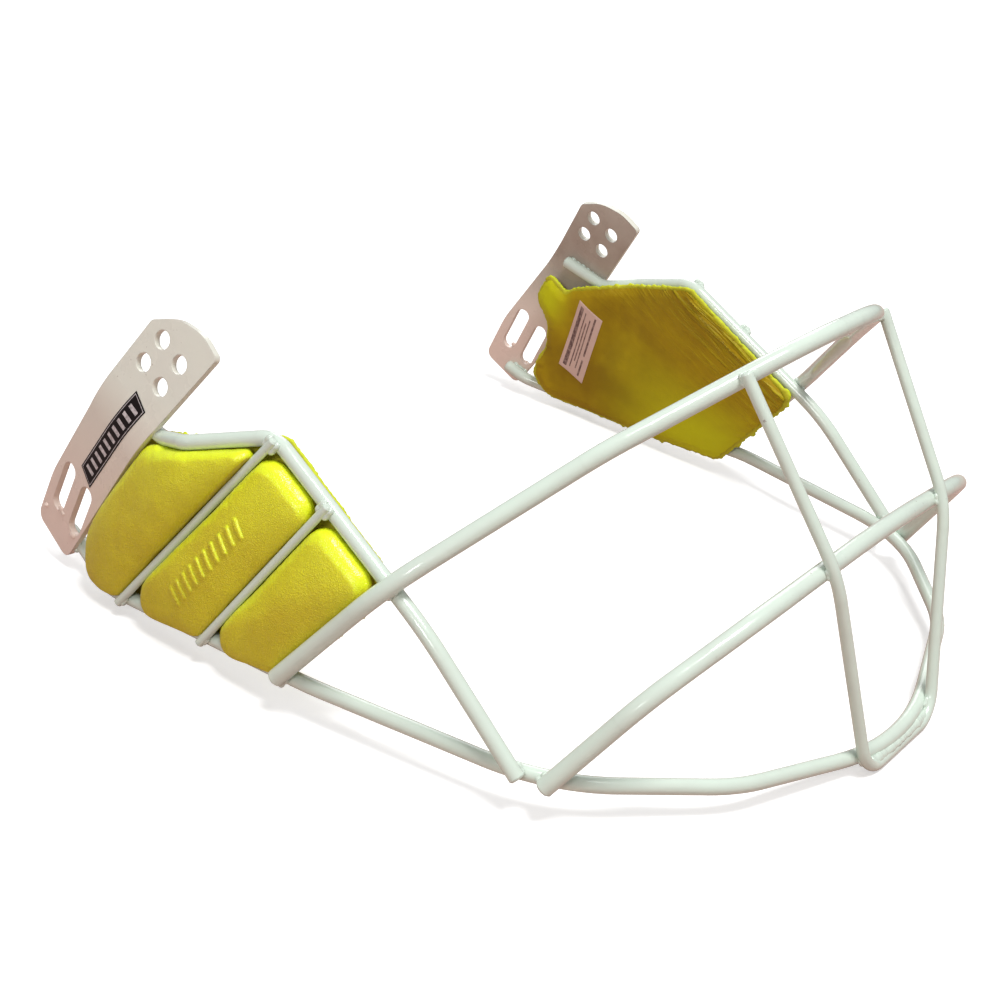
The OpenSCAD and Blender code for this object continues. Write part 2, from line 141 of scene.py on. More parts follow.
def makeStudio():
    deselectAll()
    bpy.ops.mesh.primitive_plane_add(size=studio["floorSize"])
    floor = bpy.context.object
    floor.name = "floor"
    material, tree, out = newMaterial("floorPaint")
    seen = tree.nodes.new("ShaderNodeLightPath").outputs["Is Camera Ray"]
    shade = addMix(tree, seen, studio["floorBounce"], studio["floorSeen"])
    diffuse = addNode(tree, "ShaderNodeBsdfDiffuse", Color=shade)
    away = addNode(tree, "ShaderNodeVectorMath", operation="LENGTH", Vector=objectCoords(tree)).outputs["Value"]
    glow = addProduct(tree, seen, addRange(tree, away, *studio["floorFade"]))
    shine = addNode(tree, "ShaderNodeEmission", Strength=glow)
    both = feedAll(tree, tree.nodes.new("ShaderNodeAddShader"), diffuse.outputs[0], shine.outputs[0])
    feed(tree, out.inputs["Surface"], both)
    floor.data.materials.append(material)

    world = bpy.data.worlds.new("studioAir")
    bpy.context.scene.world = world
    world.use_nodes = True
    tree = world.node_tree
    tree.nodes.clear()
    air = addNode(tree, "ShaderNodeBackground", Color=studio["worldColour"], Strength=studio["worldStrength"])
    white = addNode(tree, "ShaderNodeBackground", Color=(1, 1, 1, 1), Strength=1)
    seen = tree.nodes.new("ShaderNodeLightPath").outputs["Is Camera Ray"]
    mix = feedAll(tree, tree.nodes.new("ShaderNodeMixShader"), seen, air.outputs[0], white.outputs[0])
    addNode(tree, "ShaderNodeOutputWorld", Surface=mix)

    for lamp in studio["lamps"]:
        data = bpy.data.lights.new(lamp["name"], "AREA")
        data.shape = "RECTANGLE"
        data.size, data.size_y = lamp["size"]
        data.energy = lamp["power"]
        light = bpy.data.objects.new(lamp["name"], data)
        show(light)
        place = Vector(lamp["place"])
        aim = (Vector(studio["lampAim"]) - place).to_track_quat("-Z", "Y")
        light.matrix_world = Matrix.Translation(place) @ aim.to_matrix().to_4x4()
    bpy.context.scene.view_settings.view_transform = "Standard"


# node helpers

def newMaterial(name):
    material = bpy.data.materials.new(name)
    material.use_nodes = True
    tree = material.node_tree
    tree.nodes.clear()
    out = tree.nodes.new("ShaderNodeOutputMaterial")
    return material, tree, out


def feed(tree, socket, value):
    if isinstance(value, bpy.types.NodeSocket):
        tree.links.new(value, socket)
    else:
        socket.default_value = value


def addNode(tree, kind, **values):
    # a value goes to the input of that name, or else to the node itself
    node = tree.nodes.new(kind)
    for name, value in values.items():
        socket = node.inputs.get(name.replace("_", " "))
        if socket is None:
            setattr(node, name, value)
        else:
            feed(tree, socket, value)
    return node


def feedAll(tree, node, *values):
    # the values go to the first inputs
    for socket, value in zip(node.inputs, values):
        feed(tree, socket, value)
    return node.outputs[0]


def addMath(tree, operation, a, b=0):
    return feedAll(tree, addNode(tree, "ShaderNodeMath", operation=operation), a, b)


def addProduct(tree, a, b):
    return addMath(tree, "MULTIPLY", a, b)


def addRange(tree, value, fromLow, fromHigh, toLow=0, toHigh=1):
    node = addNode(tree, "ShaderNodeMapRange", Value=value, From_Min=fromLow, From_Max=fromHigh, To_Min=toLow,
                   To_Max=toHigh)
    return node.outputs["Result"]


def addSplit(tree, vector):
    return addNode(tree, "ShaderNodeSeparateXYZ", Vector=vector).outputs


def addAttribute(tree, name):
    return addNode(tree, "ShaderNodeAttribute", attribute_name=name).outputs["Fac"]


def objectCoords(tree):
    return tree.nodes.new("ShaderNodeTexCoord").outputs["Object"]


def addNoise(tree, coords, scale, detail, roughness, distortion=0):
    node = addNode(tree, "ShaderNodeTexNoise", Vector=coords, Scale=scale, Detail=detail, Roughness=roughness,
                   Distortion=distortion)
    return node.outputs["Fac"]


def addRamp(tree, factor, stops):
    node = addNode(tree, "ShaderNodeValToRGB", Fac=factor)
    ramp = node.color_ramp
    while len(ramp.elements) < len(stops):
        ramp.elements.new(0.5)
    for element, (place, colour) in zip(ramp.elements, stops):
        element.position = place
        element.color = colour if hasattr(colour, "__len__") else (colour, colour, colour, 1)
    return node.outputs["Color"]


def addMix(tree, factor, a, b):
    node = addNode(tree, "ShaderNodeMix", data_type="RGBA")
    # 0, 6 and 7 are the inputs of a colour mix
    for index, value in ((0, factor), (6, a), (7, b)):
        feed(tree, node.inputs[index], value)
    return node.outputs[2]


def addBump(tree, height, strength, distance, before=None):
    node = addNode(tree, "ShaderNodeBump", Height=height, Strength=strength, Distance=distance)
    if before is not None:
        feed(tree, node.inputs["Normal"], before)
    return node.outputs["Normal"]


def addGrain(tree, coords, grain, before=None):
    # a bump from a noise
    kind, bump = grain
    return addBump(tree, addNoise(tree, coords, *kind), *bump, before)


def finishLook(tree, out, **values):
    shader = addNode(tree, "ShaderNodeBsdfPrincipled", **values)
    feed(tree, out.inputs["Surface"], shader.outputs[0])


# finishes: a noise is (scale, detail, roughness), a bump (strength, distance), a grain a noise and its bump,
# and a ramp's stop (place, value)

rodLook = {
    "base": (0.67, 0.79, 0.69, 1),
    "deep": (0.61, 0.67, 0.6, 1),
    "worn": (0.26, 0.2, 0.18, 1),
    "roughness": (0.1, 0.22),
    # the painted shade on the plates' inner face: none on the rods
    "paintedShade": 0,
}

plateLook = {
    "base": (0.76, 0.77, 0.67, 1),
    "deep": (0.7, 0.67, 0.6, 1),
    "worn": (0.3, 0.24, 0.2, 1),
    "roughness": (0.2, 0.36),
    # how strongly the inner face is painted darker, as painted shade
    "paintedShade": 0.85,
}

coatLook = {
    "coatWeight": 0.3,
    "coatRoughness": 0.08,
    "mottle": (60, 4, 0.6),
    # chips: small specks, but only within patches
    "specks": (620, 2, 0.6),
    "speckStops": ((0.7, 0), (0.74, 1)),
    "patches": (34, 2, 0.5),
    "patchStops": ((0.6, 0), (0.68, 1)),
    "chipShare": 0.7,
    "chipBump": (-0.4, 0.2 * mm),
    # bands: the heights in m between which they rise and fall
    # painted shade and reflection: the lower part of each plate is painted pinkish, as where it faces down and
    # reflects a red surround
    "paintedReflectionBand": (0.02, 0.066, 1, 2),
    "paintedReflectionColour": (0.8, 0.6, 0.52, 1),
    "paintedReflectionShare": 0.75,
    # painted shade: the band of heights, the colour and the cloudy edge of the darker inner face
    "paintedShadeBand": (0.035, 0.062, 0.072, 0.108),
    "paintedShadeColour": (0.3, 0.22, 0.17, 1),
    "paintedShadeNoise": (70, 3, 0.6),
    "paintedShadeStops": ((0.2, 0.6), (0.7, 1)),
    "inwardStops": ((0.3, 0), (0.7, 1)),
    "edge": 0.45 * mm,
    "edgeSamples": 4,
    "peel": ((900, 2, 0.5), (0.16, 0.1 * mm)),
    "waves": ((210, 2, 0.5), (0.3, 0.3 * mm)),
}


def makeCoat(name, own):
    # dipped paint: glossy, a little uneven, with a few chips and, on the plates, painted shade on the inner face and
    # a painted pinkish reflection on the lower part
    look = coatLook | own
    material, tree, out = newMaterial(name)
    coords = objectCoords(tree)
    mottle = addNoise(tree, coords, *look["mottle"])
    colour = addMix(tree, mottle, look["deep"], look["base"])
    specks = addRamp(tree, addNoise(tree, coords, *look["specks"]), look["speckStops"])
    patches = addRamp(tree, addNoise(tree, coords, *look["patches"]), look["patchStops"])
    worn = addProduct(tree, specks, patches)
    colour = addMix(tree, addProduct(tree, worn, look["chipShare"]), colour, look["worn"])
    if look["paintedShade"]:
        # painted shade and reflection: the lower part of a plate is painted pinkish
        foot = addMath(tree, "SUBTRACT", 1, addBand(tree, coords, *look["paintedReflectionBand"]))
        colour = addMix(tree, addProduct(tree, foot, look["paintedReflectionShare"]), colour, look["paintedReflectionColour"])
        # painted shade: the inner face, between two heights, is painted darker brown, cloudy at its edge
        inner = addProduct(tree, addInward(tree, coords), addBand(tree, coords, *look["paintedShadeBand"]))
        cloudy = addRamp(tree, addNoise(tree, coords, *look["paintedShadeNoise"]), look["paintedShadeStops"])
        paintedShade = addProduct(tree, addProduct(tree, inner, cloudy), look["paintedShade"])
        colour = addMix(tree, paintedShade, colour, look["paintedShadeColour"])
    low, high = look["roughness"]
    rough = addMath(tree, "ADD", addProduct(tree, mottle, high - low), low)
    rounded = addNode(tree, "ShaderNodeBevel", Radius=look["edge"], samples=look["edgeSamples"])
    normal = addGrain(tree, coords, look["peel"], rounded.outputs[0])
    normal = addGrain(tree, coords, look["waves"], normal)
    normal = addBump(tree, worn, *look["chipBump"], normal)
    finishLook(tree, out, Base_Color=colour, Roughness=rough, Normal=normal, Coat_Weight=look["coatWeight"],
               Coat_Roughness=look["coatRoughness"])
    return material


def addInward(tree, coords):
    # 1 on a face that looks towards the middle of the guard
    place = addSplit(tree, coords)
    facing = addSplit(tree, tree.nodes.new("ShaderNodeNewGeometry").outputs["True Normal"])
    across = addProduct(tree, addMath(tree, "SIGN", place[0]), facing[0])
    return addRamp(tree, addProduct(tree, across, -1), coatLook["inwardStops"])


def addBand(tree, coords, start, full, last, end):
    # rises with the height from start to full, and falls from last to end
    height = addSplit(tree, coords)[2]
    return addProduct(tree, addRange(tree, height, start, full), addRange(tree, height, end, last))


leatherLook = {
    "flat": (0.76, 0.68, 0.006, 1),
    "deep": (0.6, 0.47, 0.004, 1),
    # painted light: the colour of the lit rims
    "rim": (0.86, 1.0, 0.02, 1),
    "coatWeight": 0.22,
    "coatRoughness": 0.26,
    "specular": 0.55,
    # on a rim, and what is added on a flat place
    "roughness": (0.22, 0.3),
    "cloud": (55, 3, 0.55),
    "cloudStops": ((0.3, 0), (0.72, 1)),
    "grain": 1700,
    "bend": (500, 2, 0.5),
    "bendReach": 0.6 * mm,
    "pebbleStops": ((0, 0), (0.25, 1)),
    "pebbleShade": 0.3,
    "pebbleBump": (0.6, 0.22 * mm),
    "pores": (1050, 3, 0.6),
    "poreBump": (0.7, 0.4 * mm),
    # how much of the grain is gone on a rim
    "taut": 0.75,
}


def makeLeather(name):
    # pebbled leather over foam, smoother where it is drawn tight over a rim, with painted light: brighter on the rims
    # that face up and to the front, and near the top
    look = leatherLook
    material, tree, out = newMaterial(name)
    coords = objectCoords(tree)
    rim = addAttribute(tree, "rim")
    least, more = look["roughness"]
    rough = addMath(tree, "ADD", addProduct(tree, addMath(tree, "SUBTRACT", 1, rim), more), least)
    cloud = addRamp(tree, addNoise(tree, coords, *look["cloud"]), look["cloudStops"])
    colour = addMix(tree, cloud, look["deep"], look["flat"])
    # painted light: the lit rims and the upper part turn bright yellow-green
    colour = addMix(tree, rim, colour, look["rim"])
    bent = addNoise(tree, coords, *look["bend"]).node.outputs["Color"]
    shift = addNode(tree, "ShaderNodeVectorMath", operation="MULTIPLY_ADD")
    shifted = feedAll(tree, shift, bent, [look["bendReach"]] * 3, coords)
    cells = addNode(tree, "ShaderNodeTexVoronoi", feature="DISTANCE_TO_EDGE", Vector=shifted, Scale=look["grain"],
                    Randomness=1)
    pebbles = addRamp(tree, cells.outputs["Distance"], look["pebbleStops"])
    shade = addProduct(tree, addMath(tree, "SUBTRACT", 1, pebbles), look["pebbleShade"])
    colour = addMix(tree, shade, colour, look["deep"])
    loose = addMath(tree, "SUBTRACT", 1, addProduct(tree, rim, look["taut"]))
    normal = addBump(tree, addProduct(tree, pebbles, loose), *look["pebbleBump"])
    pores = addProduct(tree, addNoise(tree, coords, *look["pores"]), loose)
    normal = addBump(tree, pores, *look["poreBump"], normal)
    finishLook(tree, out, Base_Color=colour, Roughness=rough, Normal=normal, Coat_Weight=look["coatWeight"],
               Coat_Roughness=look["coatRoughness"], Specular_IOR_Level=look["specular"])
    return material


sheetLook = {
    "face": (0.5, 0.46, 0.012, 1),
    "cut": (0.68, 0.78, 0.014, 1),
    "shade": (0.42, 0.38, 0.01, 1),
    "shadeShare": 0.35,
    "roughness": 0.7,
    "cloud": (240, 4, 0.65),
    "cloudBump": (0.4, 0.6 * mm),
    "cells": ((1400, 4, 0.7), (0.5, 0.3 * mm)),
}


def makeSheetFoam(name):
    # the backing sheet: matt foam, bright where it is cut
    look = sheetLook
    material, tree, out = newMaterial(name)
    coords = objectCoords(tree)
    cloud = addNoise(tree, coords, *look["cloud"])
    colour = addMix(tree, addAttribute(tree, "rim"), look["face"], look["cut"])
    colour = addMix(tree, addProduct(tree, cloud, look["shadeShare"]), colour, look["shade"])
    normal = addBump(tree, cloud, *look["cloudBump"], addGrain(tree, coords, look["cells"]))
    finishLook(tree, out, Base_Color=colour, Roughness=look["roughness"], Normal=normal)
    return material


filmLook = {
    "dark": (0.27, 0.165, 0.002, 1),
    "light": (0.6, 0.62, 0.006, 1),
    "roughness": 0.5,
    "specular": 0.22,
    # the creases' lay in radians, their stretch, and their noise with a distortion
    "lay": 0.478,
    "creaseScale": (1, 45, 620),
    "creaseNoise": (1, 3, 0.55, 0.6),
    "creaseStops": ((0.45, 0), (0.75, 1)),
    # how strongly the creases are painted lighter, as painted highlights on their ridges
    "paintedCreaseHighlight": 0.55,
    "creaseBump": (1, 1.2 * mm),
    "cloud": (26, 4, 0.6),
    "cloudStops": ((0.3, (0.27, 0.165, 0.002, 1)), (0.52, (0.42, 0.29, 0.003, 1))),
    "spots": (90, 5, 0.7),
    "spotStops": ((0.45, 0), (0.75, 0.4)),
    # how strongly the lower part and the flap are painted lighter, as painted light
    "paintedLightShare": 0.9,
    "skin": ((300, 4, 0.6), (0.3, 0.4 * mm)),
    "fine": ((1500, 2, 0.6), (0.25, 0.15 * mm)),
}


def makeFilm(name):
    # thin olive lining, drawn tight, with fine creases along the front edge; painted highlights on the creases, and
    # painted light on the lower part and the flap
    look = filmLook
    material, tree, out = newMaterial(name)
    coords = objectCoords(tree)
    turned = addNode(tree, "ShaderNodeMapping", Vector=coords, Rotation=(look["lay"], 0, 0))
    stretched = addNode(tree, "ShaderNodeMapping", Vector=turned.outputs[0], Scale=look["creaseScale"])
    creases = addRamp(tree, addNoise(tree, stretched.outputs[0], *look["creaseNoise"]), look["creaseStops"])
    creased = addProduct(tree, creases, addAttribute(tree, "front"))
    colour = addRamp(tree, addNoise(tree, coords, *look["cloud"]), look["cloudStops"])
    spots = addRamp(tree, addNoise(tree, coords, *look["spots"]), look["spotStops"])
    colour = addMix(tree, spots, colour, look["dark"])
    # painted light: the lower part and the flap turn lighter
    low = addProduct(tree, addAttribute(tree, "low"), look["paintedLightShare"])
    colour = addMix(tree, low, colour, look["light"])
    # painted highlights along the crease ridges
    colour = addMix(tree, addProduct(tree, creased, look["paintedCreaseHighlight"]), colour, look["light"])
    normal = addBump(tree, creased, *look["creaseBump"])
    normal = addGrain(tree, coords, look["skin"], normal)
    normal = addGrain(tree, coords, look["fine"], normal)
    finishLook(tree, out, Base_Color=colour, Roughness=look["roughness"], Normal=normal,
               Specular_IOR_Level=look["specular"])
    return material


def bandBetween(tree, value, low, high):
    above = addMath(tree, "GREATER_THAN", value, low)
    return addProduct(tree, above, addMath(tree, "LESS_THAN", value, high))


def addBlock(tree, u, v, left, right, foot, head):
    return addProduct(tree, bandBetween(tree, u, left, right), bandBetween(tree, v, foot, head))


def frameLine(tree, u, v, insetU, insetV, widthU, widthV):
    outer = addBlock(tree, u, v, insetU, 1 - insetU, insetV, 1 - insetV)
    insetU += widthU
    insetV += widthV
    return addMath(tree, "SUBTRACT", outer, addBlock(tree, u, v, insetU, 1 - insetU, insetV, 1 - insetV))


darkLabelLook = {
    "ground": (0.006, 0.004, 0.005, 1),
    "mark": (0.62, 0.57, 0.58, 1),
    "roughness": 0.55,
    "specular": 0.2,
    # shares of the label's length and width
    "bars": 10,
    "slant": 0.05,
    "margin": 0.105,
    "duty": 0.42,
    "span": (0.22, 0.78),
    "keyline": (0.014, 0.06, 0.005, 0.03),
    "wear": (900, 3, 0.6),
    "wearStops": ((0.35, 0.6), (0.6, 1)),
    "grain": ((700, 2, 0.5), (0.15, 0.1 * mm)),
}


def makeDarkLabel(name):
    # black label with a keyline and a row of plain slanted bars
    look = darkLabelLook
    material, tree, out = newMaterial(name)
    texture = tree.nodes.new("ShaderNodeTexCoord")
    u, v, _ = addSplit(tree, texture.outputs["UV"])
    lean = addMath(tree, "ADD", u, addProduct(tree, v, look["slant"]))
    row = addProduct(tree, addMath(tree, "SUBTRACT", lean, look["margin"]), look["bars"] / (1 - look["margin"]))
    bars = addMath(tree, "LESS_THAN", addMath(tree, "FRACT", row), look["duty"])
    bars = addProduct(tree, bars, bandBetween(tree, row, 0, look["bars"]))
    bars = addProduct(tree, bars, bandBetween(tree, v, *look["span"]))
    marks = addMath(tree, "MAXIMUM", bars, frameLine(tree, u, v, *look["keyline"]))
    wear = addRamp(tree, addNoise(tree, texture.outputs["Object"], *look["wear"]), look["wearStops"])
    colour = addMix(tree, addProduct(tree, marks, wear), look["ground"], look["mark"])
    finishLook(tree, out, Base_Color=colour, Roughness=look["roughness"], Specular_IOR_Level=look["specular"],
               Normal=addGrain(tree, texture.outputs["Object"], look["grain"]))
    return material


paleLabelLook = {
    "ground": (0.63, 0.44, 0.37, 1),
    "cloud": (0.7, 0.52, 0.45, 1),
    "mark": (0.07, 0.03, 0.03, 1),
    "roughness": 0.5,
    # each bar's left, right, foot and head, as shares of the label
    "bars": (
        (0.05, 0.95, 0.74, 0.88),
        (0.08, 0.92, 0.6, 0.645),
        (0.2, 0.8, 0.49, 0.535),
        (0.12, 0.88, 0.38, 0.425),
        (0.05, 0.3, 0.2, 0.27),
        (0.36, 0.95, 0.2, 0.27),
    ),
    "wear": (800, 3, 0.6),
    "wearStops": ((0.35, 0.55), (0.6, 0.9)),
    "cloudNoise": (120, 3, 0.5),
}


def makePaleLabel(name):
    # pale label with plain ruled bars
    look = paleLabelLook
    material, tree, out = newMaterial(name)
    texture = tree.nodes.new("ShaderNodeTexCoord")
    u, v, _ = addSplit(tree, texture.outputs["UV"])
    marks = 0
    for bar in look["bars"]:
        marks = addMath(tree, "MAXIMUM", marks, addBlock(tree, u, v, *bar))
    wear = addRamp(tree, addNoise(tree, texture.outputs["Object"], *look["wear"]), look["wearStops"])
    cloud = addNoise(tree, texture.outputs["Object"], *look["cloudNoise"])
    ground = addMix(tree, cloud, look["ground"], look["cloud"])
    colour = addMix(tree, addProduct(tree, marks, wear), ground, look["mark"])
    finishLook(tree, out, Base_Color=colour, Roughness=look["roughness"])
    return material


# pieces

def copyPiece(source, name):
    # a copy with its own mesh
    piece = source.copy()
    piece.data = source.data.copy()
    for key in list(piece.keys()):
        del piece[key]
    piece.name = piece.data.name = name
    show(piece)
    return piece


def mendNormals(piece, merge=0):
    # outward normals, and points nearer than merge made one
    makeActive(piece)
    bpy.ops.object.mode_set(mode="EDIT")
    bpy.ops.mesh.select_all(action="SELECT")
    if merge:
        bpy.ops.mesh.remove_doubles(threshold=merge)
    bpy.ops.mesh.normals_make_consistent(inside=False)
    bpy.ops.object.mode_set(mode="OBJECT")


def copyNode(node, name):
    piece = copyPiece(nodes[node], name)
    piece.parent = None
    piece.data.materials.clear()
    piece.hide_render = piece.hide_viewport = False
    mendNormals(piece, merge=0.01 * mm)
    return piece


def mirrorPiece(piece, name):
    # the same piece on the wearer's left
    twin = copyPiece(piece, name)
    mesh = bmesh.new()
    mesh.from_mesh(twin.data)
    for vertex in mesh.verts:
        vertex.co.x = -vertex.co.x
    bmesh.ops.reverse_faces(mesh, faces=mesh.faces)
    mesh.to_mesh(twin.data)
    mesh.free()
    return twin


def standFor(piece, twin, node):
    for made, side in ((piece, "right"), (twin, "left")):
        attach(made, "root")
        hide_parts(f"{node}_{side}")


def normalsOf(piece):
    # read once, because moving a point makes Blender work them all out again
    return [vertex.normal.copy() for vertex in piece.data.vertices]


def setAttribute(piece, name, values):
    layer = piece.data.attributes.new(name, "FLOAT", "POINT")
    layer.data.foreach_set("value", values)


def noiseAt(u, v, grain):
    # noise on a flat place; the grain is the scale along u, the scale along v, and the layer
    return noise.noise(Vector((u * grain[0], v * grain[1], grain[2])))


def treeOf(*names):
    # one search tree over the surfaces of these CAD nodes
    points, faces = [], []
    for name in names:
        mesh = nodes[name].data
        start = len(points)
        points += [vertex.co.copy() for vertex in mesh.vertices]
        faces += [[start + i for i in face.vertices] for face in mesh.polygons]
    return BVHTree.FromPolygons(points, faces)


def keepClear(piece, tree):
    # a point that has gone into a rod, or nearer to it than the gap, comes back to just outside it
    clear = pillow["clear"]
    for vertex in piece.data.vertices:
        place, normal, _, distance = tree.find_nearest(vertex.co, pillow["search"])
        if place is None:
            continue
        away = vertex.co - place
        if away.dot(normal) < 0:
            vertex.co = place + normal * clear if distance < pillow["inside"] else vertex.co
        elif distance < clear:
            vertex.co = place + (away.normalized() if distance > pillow["touch"] else normal) * clear


pillow = {
    "seeds": {"rear": 0, "middle": 11.3, "front": 22.6},
    "shrink": 0.3 * mm,
    "voxel": 1.5 * mm,
    "relax": 2,
    # the blowing up: pressure, mass, frames, the furthest that a point may go, and the held back's normal
    "pressure": 4,
    "mass": 0.3,
    "frames": 20,
    "cap": 0.9 * mm,
    "held": -0.6,
    # the gap to a rod, the search for one, how deep a point may lie in it, what counts as a touch, and the rounds
    "clear": 0.06 * mm,
    "search": 4 * mm,
    "inside": 2.2 * mm,
    "touch": 1e-7,
    "rounds": 3,
    # beside the straight rods: gap, reach and depths in mm, the fade at the ends, and each rod's axis and radius
    "beside": 0.12,
    "besideReach": 7,
    "besideDepth": (-1.6, 0.2),
    "besideEnd": 0.08,
    "fences": (
        ((107.5, -30.4, 69.4), (118.2, -74.3, 3.8), 1.25),
        ((108.3, -9.6, 59.3), (118.2, -41.7, 6.2), 1.25),
        ((107.9, -66.0, 56.2), (104.6, -32.6, 68.5), 2.15),
        ((104.6, -32.6, 68.5), (107.7, 25.1, 38.6), 2.15),
        ((119.2, -12.4, 10.1), (109.5, 14.5, 46.4), 2.5),
    ),
    "spike": 0.24 * mm,
    "spikeRounds": 10,
    # the bulge over the chin rod: the rod's line in the side view, the bulge down and back, and where it fades, in mm
    "chinLine": ((-81.4, 4.6), (-4.1, 10.4)),
    "bulge": 3.4,
    "bulgeBack": 1.19,
    "bulgeHeights": (13, 3),
    "bulgeDepths": (115, 118.4),
    "bulgeRear": (-78, -92),
    "rearmost": -96,
    # the swelling of the sides, and the corners that are drawn further: place, step and reach in the side view
    "fill": 1.2,
    "pulls": {
        "rear": (((-41, 60), (4.2, 3.2), 14), ((-88, 13), (-0.8, -2.4), 15)),
        "middle": (((-62, 13), (-2, -1), 12),),
        "front": (((-30, 14), (-3.2, -1.4), 14),),
    },
    "ribs": {"count": 10, "middle": (-41.5, 31.5), "along": (0.535, 0.845), "step": 3.55, "long": 5.4, "wide": 1.25,
             "lean": 0.3, "high": 0.42, "sides": (0.95, 0.3), "ends": (0.5, 0.4), "face": 0.75},
    # slow dents and folds: their grain, share and height; the folds run across "lay"
    "folds": {"broad": (0.055, 0.055), "broadShare": 0.5, "grain": (0.05, 0.22), "lay": (0.55, 0.83), "layer": 7,
              "width": 0.16, "share": 0.2, "face": (0.2, 0.8), "high": {"rear": 0.22, "middle": 0.16, "front": 0.16}},
    # the painted light on the rims: by the slope, by the side that is lit, and by the height
    "rims": {"slope": (0.992, 0.8), "sky": (0.2, 0.9), "lit": (-0.15, 0.55), "head": (0.4, 1), "headShare": 0.5,
             "headLit": (-0.2, 0.3)},
}


def chinHeight(y):
    (y0, z0), (y1, z1) = pillow["chinLine"]
    return z0 + (y - y0) * (z1 - z0) / (y1 - y0)


def keepBeside(piece):
    # seen from outside, a pillow stops beside each rod and never laps over it
    centre = sum((vertex.co for vertex in piece.data.vertices), Vector()) / len(piece.data.vertices) / mm
    reach = pillow["besideEnd"]
    for start, end, radius in pillow["fences"]:
        start, end = Vector(start), Vector(end)
        run = Vector((end.y - start.y, end.z - start.z))
        length = run.length
        run /= length
        side = Vector((-run.y, run.x))
        if side.dot(Vector((centre.y - start.y, centre.z - start.z))) < 0:
            side = -side
        for vertex in piece.data.vertices:
            x, y, z = vertex.co / mm
            offset = Vector((y - start.y, z - start.z))
            t = offset.dot(run) / length
            past = offset.dot(side) - radius - pillow["beside"]
            if past >= 0 or past < -pillow["besideReach"]:
                continue
            depth = x - start.x - (end.x - start.x) * min(1, max(0, t))
            share = smoothStep(*pillow["besideDepth"], depth)
            share *= smoothStep(-reach, 0, t) * smoothStep(1 + reach, 1, t)
            vertex.co.y -= side.x * past * share * mm
            vertex.co.z -= side.y * past * share * mm
    piece.data.update()


def calmSpikes(piece):
    # a point that stands far out of its neighbours goes back between them
    around = [[] for vertex in piece.data.vertices]
    for edge in piece.data.edges:
        first, second = edge.vertices
        around[first].append(second)
        around[second].append(first)
    for _ in range(pillow["spikeRounds"]):
        places = [vertex.co.copy() for vertex in piece.data.vertices]
        for vertex, near in zip(piece.data.vertices, around):
            mean = sum((places[index] for index in near), Vector()) / len(near)
            if (vertex.co - mean).length > pillow["spike"]:
                vertex.co = mean
    piece.data.update()


def blowUp(piece):
    rest = [vertex.co.copy() for vertex in piece.data.vertices]
    held = [vertex.normal.x < pillow["held"] for vertex in piece.data.vertices]
    makeActive(piece)
    cloth = piece.modifiers.new("blow", "CLOTH")
    cloth.settings.use_pressure = True
    cloth.settings.uniform_pressure_force = pillow["pressure"]
    cloth.settings.mass = pillow["mass"]
    cloth.settings.effector_weights.gravity = 0
    cloth.collision_settings.use_collision = False
    cloth.point_cache.frame_start = 1
    cloth.point_cache.frame_end = pillow["frames"]
    for number in range(1, pillow["frames"] + 1):
        bpy.context.scene.frame_set(number)
    bpy.ops.object.modifier_apply(modifier=cloth.name)
    bpy.context.scene.frame_set(1)
    furthest = 0
    for vertex, start, still in zip(piece.data.vertices, rest, held):
        step = vertex.co - start
        furthest = max(furthest, step.length)
        if still:
            vertex.co = start
        elif step.length > pillow["cap"]:
            vertex.co = start + step * (pillow["cap"] / step.length)
    print("  blown up", piece.name, "moved at most", round(furthest / mm, 2), "mm")


def hangOver(piece):
    # the lower end bulges over the chin rod
    for vertex in piece.data.vertices:
        x, y, z = vertex.co / mm
        above = z - chinHeight(max(y, pillow["rearmost"]))
        share = smoothStep(*pillow["bulgeHeights"], above) * smoothStep(*pillow["bulgeDepths"], x)
        vertex.co.z -= pillow["bulge"] * share * mm
        vertex.co.y -= pillow["bulgeBack"] * share * mm * smoothStep(*pillow["bulgeRear"], y)


def fillOut(piece, kind):
    # the sides swell towards the rods, and a corner or two is drawn further
    for vertex, normal in zip(piece.data.vertices, normalsOf(piece)):
        step = Vector((0, normal.y, normal.z)) * pillow["fill"]
        for (y, z), (dy, dz), reach in pillow["pulls"][kind]:
            away = math.hypot(vertex.co.y / mm - y, vertex.co.z / mm - z)
            step += Vector((0, dy, dz)) * smoothStep(reach, 0, away)
        vertex.co += step * mm


def addRibs(piece):
    # a row of plain slanted ribs pressed into the leather
    ribs = pillow["ribs"]
    middle = Vector(ribs["middle"])
    along = Vector(ribs["along"]).normalized()
    across = Vector((along.y, -along.x))
    half = (ribs["count"] - 1) / 2
    for vertex, normal in zip(piece.data.vertices, normalsOf(piece)):
        if normal.x < ribs["face"]:
            continue
        offset = Vector((vertex.co.y / mm, vertex.co.z / mm)) - middle
        v = offset.dot(across)
        u = offset.dot(along) + v * ribs["lean"]
        index = round(u / ribs["step"] + half)
        if index < 0 or index >= ribs["count"]:
            continue
        near = abs(u - (index - half) * ribs["step"])
        outer, inner = ribs["sides"]
        share = smoothStep(ribs["wide"] * outer, ribs["wide"] * inner, near)
        outer, inner = ribs["ends"]
        share *= smoothStep(ribs["long"] / 2 + outer, ribs["long"] / 2 - inner, abs(v))
        vertex.co += normal * ribs["high"] * share * mm


